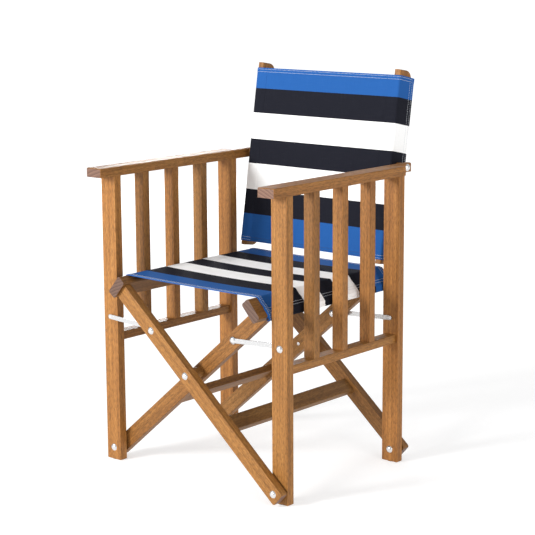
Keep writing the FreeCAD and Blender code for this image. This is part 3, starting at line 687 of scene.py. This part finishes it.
sleeve_section = spaced(rounded([
    (LAP_EDGE, FRONT_MID, 0),
    (OUTER_MID, FRONT_MID, 5.0 * MM),
    (OUTER_MID, REAR_MID, 6.5 * MM),
    (INNER_MID, REAR_MID, 6.5 * MM),
    (INNER_MID, FRONT_MID + 2.1 * MM, 2 * MM),
    (INNER_MID - 9 * MM, FRONT_MID + 2.1 * MM, 0),
]), 6 * MM)


def sleeve(name, side):
    """The cloth round a post: a thin lap on the front panel, the loop, and a flange sewn behind."""
    line = sleeve_section if side > 0 else [Vector((-p.x, p.y)) for p in reversed(sleeve_section)]
    total = run_lengths(line)
    across = [value + 1 for value in total]
    grid = [[back_point(p.x, p.y, row) for row in back_rows] for p in line]

    def inner(i, j):
        on_lap = line[i].y < FRONT_MID + 0.1 * MM and abs(line[i].x) < INNER_MID - CLOTH
        return -0.25 * MM if on_lap else HALF

    return sheet(name, grid, across, back_rows, lambda i, j: back_rise(back_rows[j]), inner, back_canvas)


PANEL_STEPS = 60
between_laps = [LAP_EDGE * (2 * k / PANEL_STEPS - 1) * 0.996 for k in range(PANEL_STEPS + 1)]
behind_lap = [LAP_EDGE + 0.5 * MM, LAP_END]
columns = [-x for x in reversed(behind_lap)] + between_laps + behind_lap


def panel_strip(index):
    """One stripe's height of the front panel, as a sheet of its own."""
    low, high = stripe_feet[index], stripe_feet[index + 1]
    rows = [low] + [row for row in back_rows if low + 0.3 * MM < row < high - 0.3 * MM] + [high]
    grid = []
    for x in columns:
        drop = LAP_DROP if abs(x) > LAP_EDGE else 0
        grid.append([back_point(x, FRONT_MID + drop, row) for row in rows])
    return sheet(
        f"back_stripe_{index + 1}", grid, columns, rows,
        lambda i, j: back_rise(rows[j]), lambda i, j: HALF, back_canvas,
    )


UPRIGHT_STITCHES = ((22 * MM, 17 * MM), (30 * MM, 26 * MM))


def upright_line(side, low, top):
    """A sewn line up a sleeve's outer face, from its distance rearward at the bottom to that at the top."""
    count = 59
    line = []
    for k in range(count + 1):
        w = 2 * MM + (BACK_TALL - 4 * MM) * k / count
        at = back_point(side * OUTER_MID, low + (top - low) * k / count, w)
        line.append((at + RIGHT * side * HALF, RIGHT * side))
    return line


def across_line(w, start, stop):
    """A sewn line across the front, from one distance rightward to another."""
    count = max(2, round(abs(stop - start) / (4 * MM)))
    line = []
    for k in range(count + 1):
        x = start + (stop - start) * k / count
        line.append((back_point(x, FRONT_MID, w) - REAR_BACK * (HALF + HEM_RISE), -REAR_BACK))
    return line


def round_sleeve_line(side, w):
    """A hem's sewn line from the lap round a sleeve's corner and along its outer face."""
    line = []
    stop = next(k for k, p in enumerate(sleeve_section) if p.y > REAR_MID - 8 * MM)
    points = sleeve_section[:stop]
    for k, p in enumerate(points):
        run = points[min(k + 1, len(points) - 1)] - points[max(k - 1, 0)]
        out = Vector((run.y, -run.x)).normalized()
        up = RIGHT * out.x * side + REAR_BACK * out.y
        at = back_point(side * p.x, p.y, w)
        line.append((at + up * (HALF + HEM_RISE), up))
    return line


strips = [panel_strip(index) for index in range(7)]
sleeve_right = sleeve("back_sleeve_right", 1)
sleeve_left = sleeve("back_sleeve_left", -1)
hem_heights = {"top": [BACK_TALL - d for d in HEM_STITCHES], "bottom": list(HEM_STITCHES)}
hem_thread = {"top": light_thread, "bottom": dark_thread}
hem_threads = {}
for end, heights in hem_heights.items():
    lines = [across_line(w, -LAP_EDGE + MM, LAP_EDGE - MM) for w in heights]
    hem_threads[end] = stitches(f"back_stitches_{end}", lines, hem_thread[end])
sleeve_threads = {}
for side, word in ((1, "right"), (-1, "left")):
    lines = [upright_line(side, low, top) for low, top in UPRIGHT_STITCHES]
    lines += [round_sleeve_line(side, w) for heights in hem_heights.values() for w in heights]
    sleeve_threads[word] = stitches(f"back_stitches_{word}", lines, light_thread)


# --- riding ----------------------------------------------------------------------------------------
ratios = {c["joint"]: c["ratio"] for c in frame["record"]["behaviour"]["couplings"]}
ratios["fold"] = 1


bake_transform(seat_cloth)
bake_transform(seat_stitches)
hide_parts("seat_sling")

hems_of = {6: [hem_threads["top"]], 0: [hem_threads["bottom"]]}  # by the stripe that they are sewn on
for index, strip in enumerate(strips):
    for piece in (strip, *hems_of.get(index, [])):
        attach(piece, "back_right")
        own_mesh(piece)
for word, sleeve_piece in (("right", sleeve_right), ("left", sleeve_left)):
    for piece in (sleeve_piece, sleeve_threads[word]):
        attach(piece, f"back_{word}")
        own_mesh(piece)
for piece in (*strips, sleeve_right, sleeve_left):
    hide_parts("back_sling")

# --- stage -----------------------------------------------------------------------------------------
FLOOR = 150
GLOW_REACH = 8  # the floor's own light is at its strongest from 0.8 of this distance outward
WORLD_LIGHT = 0.62

floor_tree = Tree("floor")
floor_tree.set(Base_Color=floor_tree.ramp(
    floor_tree.noise(floor_tree.coordinates("Object"), 3, 2), ((0.3, 0.55), (0.7, 0.57))
))
floor_tree.shader.inputs["Roughness"].default_value = 0.9
floor_tree.shader.inputs["Specular IOR Level"].default_value = 0.0
floor_tree.shader.inputs["Emission Color"].default_value = (1, 1, 1, 1)
away_from_chair = floor_tree.nodes.new("ShaderNodeVectorMath")
away_from_chair.operation = "LENGTH"
floor_tree.put(away_from_chair.inputs[0], floor_tree.coordinates("Object"))
reach = floor_tree.math("DIVIDE", away_from_chair.outputs["Value"], GLOW_REACH)
floor_tree.set(Emission_Strength=floor_tree.ramp(reach, ((0.12, 0.55), (0.8, 0.74))))
floor_corners = [Vector((x * FLOOR, y * FLOOR, 0)) for x, y in ((-1, -1), (1, -1), (1, 1), (-1, 1))]
floor = mesh_object("floor", floor_corners, [(0, 1, 2, 3)], floor_tree.material)

world = bpy.data.worlds.new("studio")
world.use_nodes = True
background = world.node_tree.nodes["Background"]
background.inputs["Color"].default_value = (1, 1, 1, 1)
background.inputs["Strength"].default_value = WORLD_LIGHT
scene = bpy.context.scene
scene.world = world
scene.view_settings.view_transform = "Standard"


def area_light(name, place, aim, wide, power):
    """A round soft light at a place, turned to its aim."""
    light = bpy.data.lights.new(name, "AREA")
    light.shape = "DISK"
    light.size = wide
    light.energy = power
    lamp = bpy.data.objects.new(name, light)
    lamp.location = place
    lamp.rotation_mode = "QUATERNION"
    lamp.rotation_quaternion = (Vector(aim) - Vector(place)).to_track_quat("-Z", "Y")
    scene.collection.objects.link(lamp)


area_light("key", (-1.56, -4.29, 1.93), (0, 0, 0.45), 1.3, 235)
area_light("fill", (4.25, -1.14, 1.4), (0, 0, 0.45), 1.5, 50)
area_light("rim", (-3.71, 3.54, 1.33), (-0.27, 0, 0.72), 0.9, 50)

# camera
AZIMUTH, ELEVATION, ROLL = (math.radians(degrees) for degrees in (40.5039, 10.9189, -0.3097))
TARGET = Vector((-0.1656, 0.2073, 0.42))
DISTANCE = 4.2032
FOCAL_LENGTH = 109.70  # millimetres, on a sensor 36 mm wide
away = Vector((
    math.sin(AZIMUTH) * math.cos(ELEVATION), -math.cos(AZIMUTH) * math.cos(ELEVATION), math.sin(ELEVATION)
))
lens = bpy.data.cameras.new("camera")
lens.sensor_width = 36
lens.lens = FOCAL_LENGTH
camera = bpy.data.objects.new("camera", lens)
camera.location = TARGET + away * DISTANCE
camera.rotation_mode = "QUATERNION"
roll = Matrix.Rotation(ROLL, 3, "Z").to_quaternion()
camera.rotation_quaternion = (-away).to_track_quat("-Z", "Y") @ roll
scene.collection.objects.link(camera)
scene.camera = camera
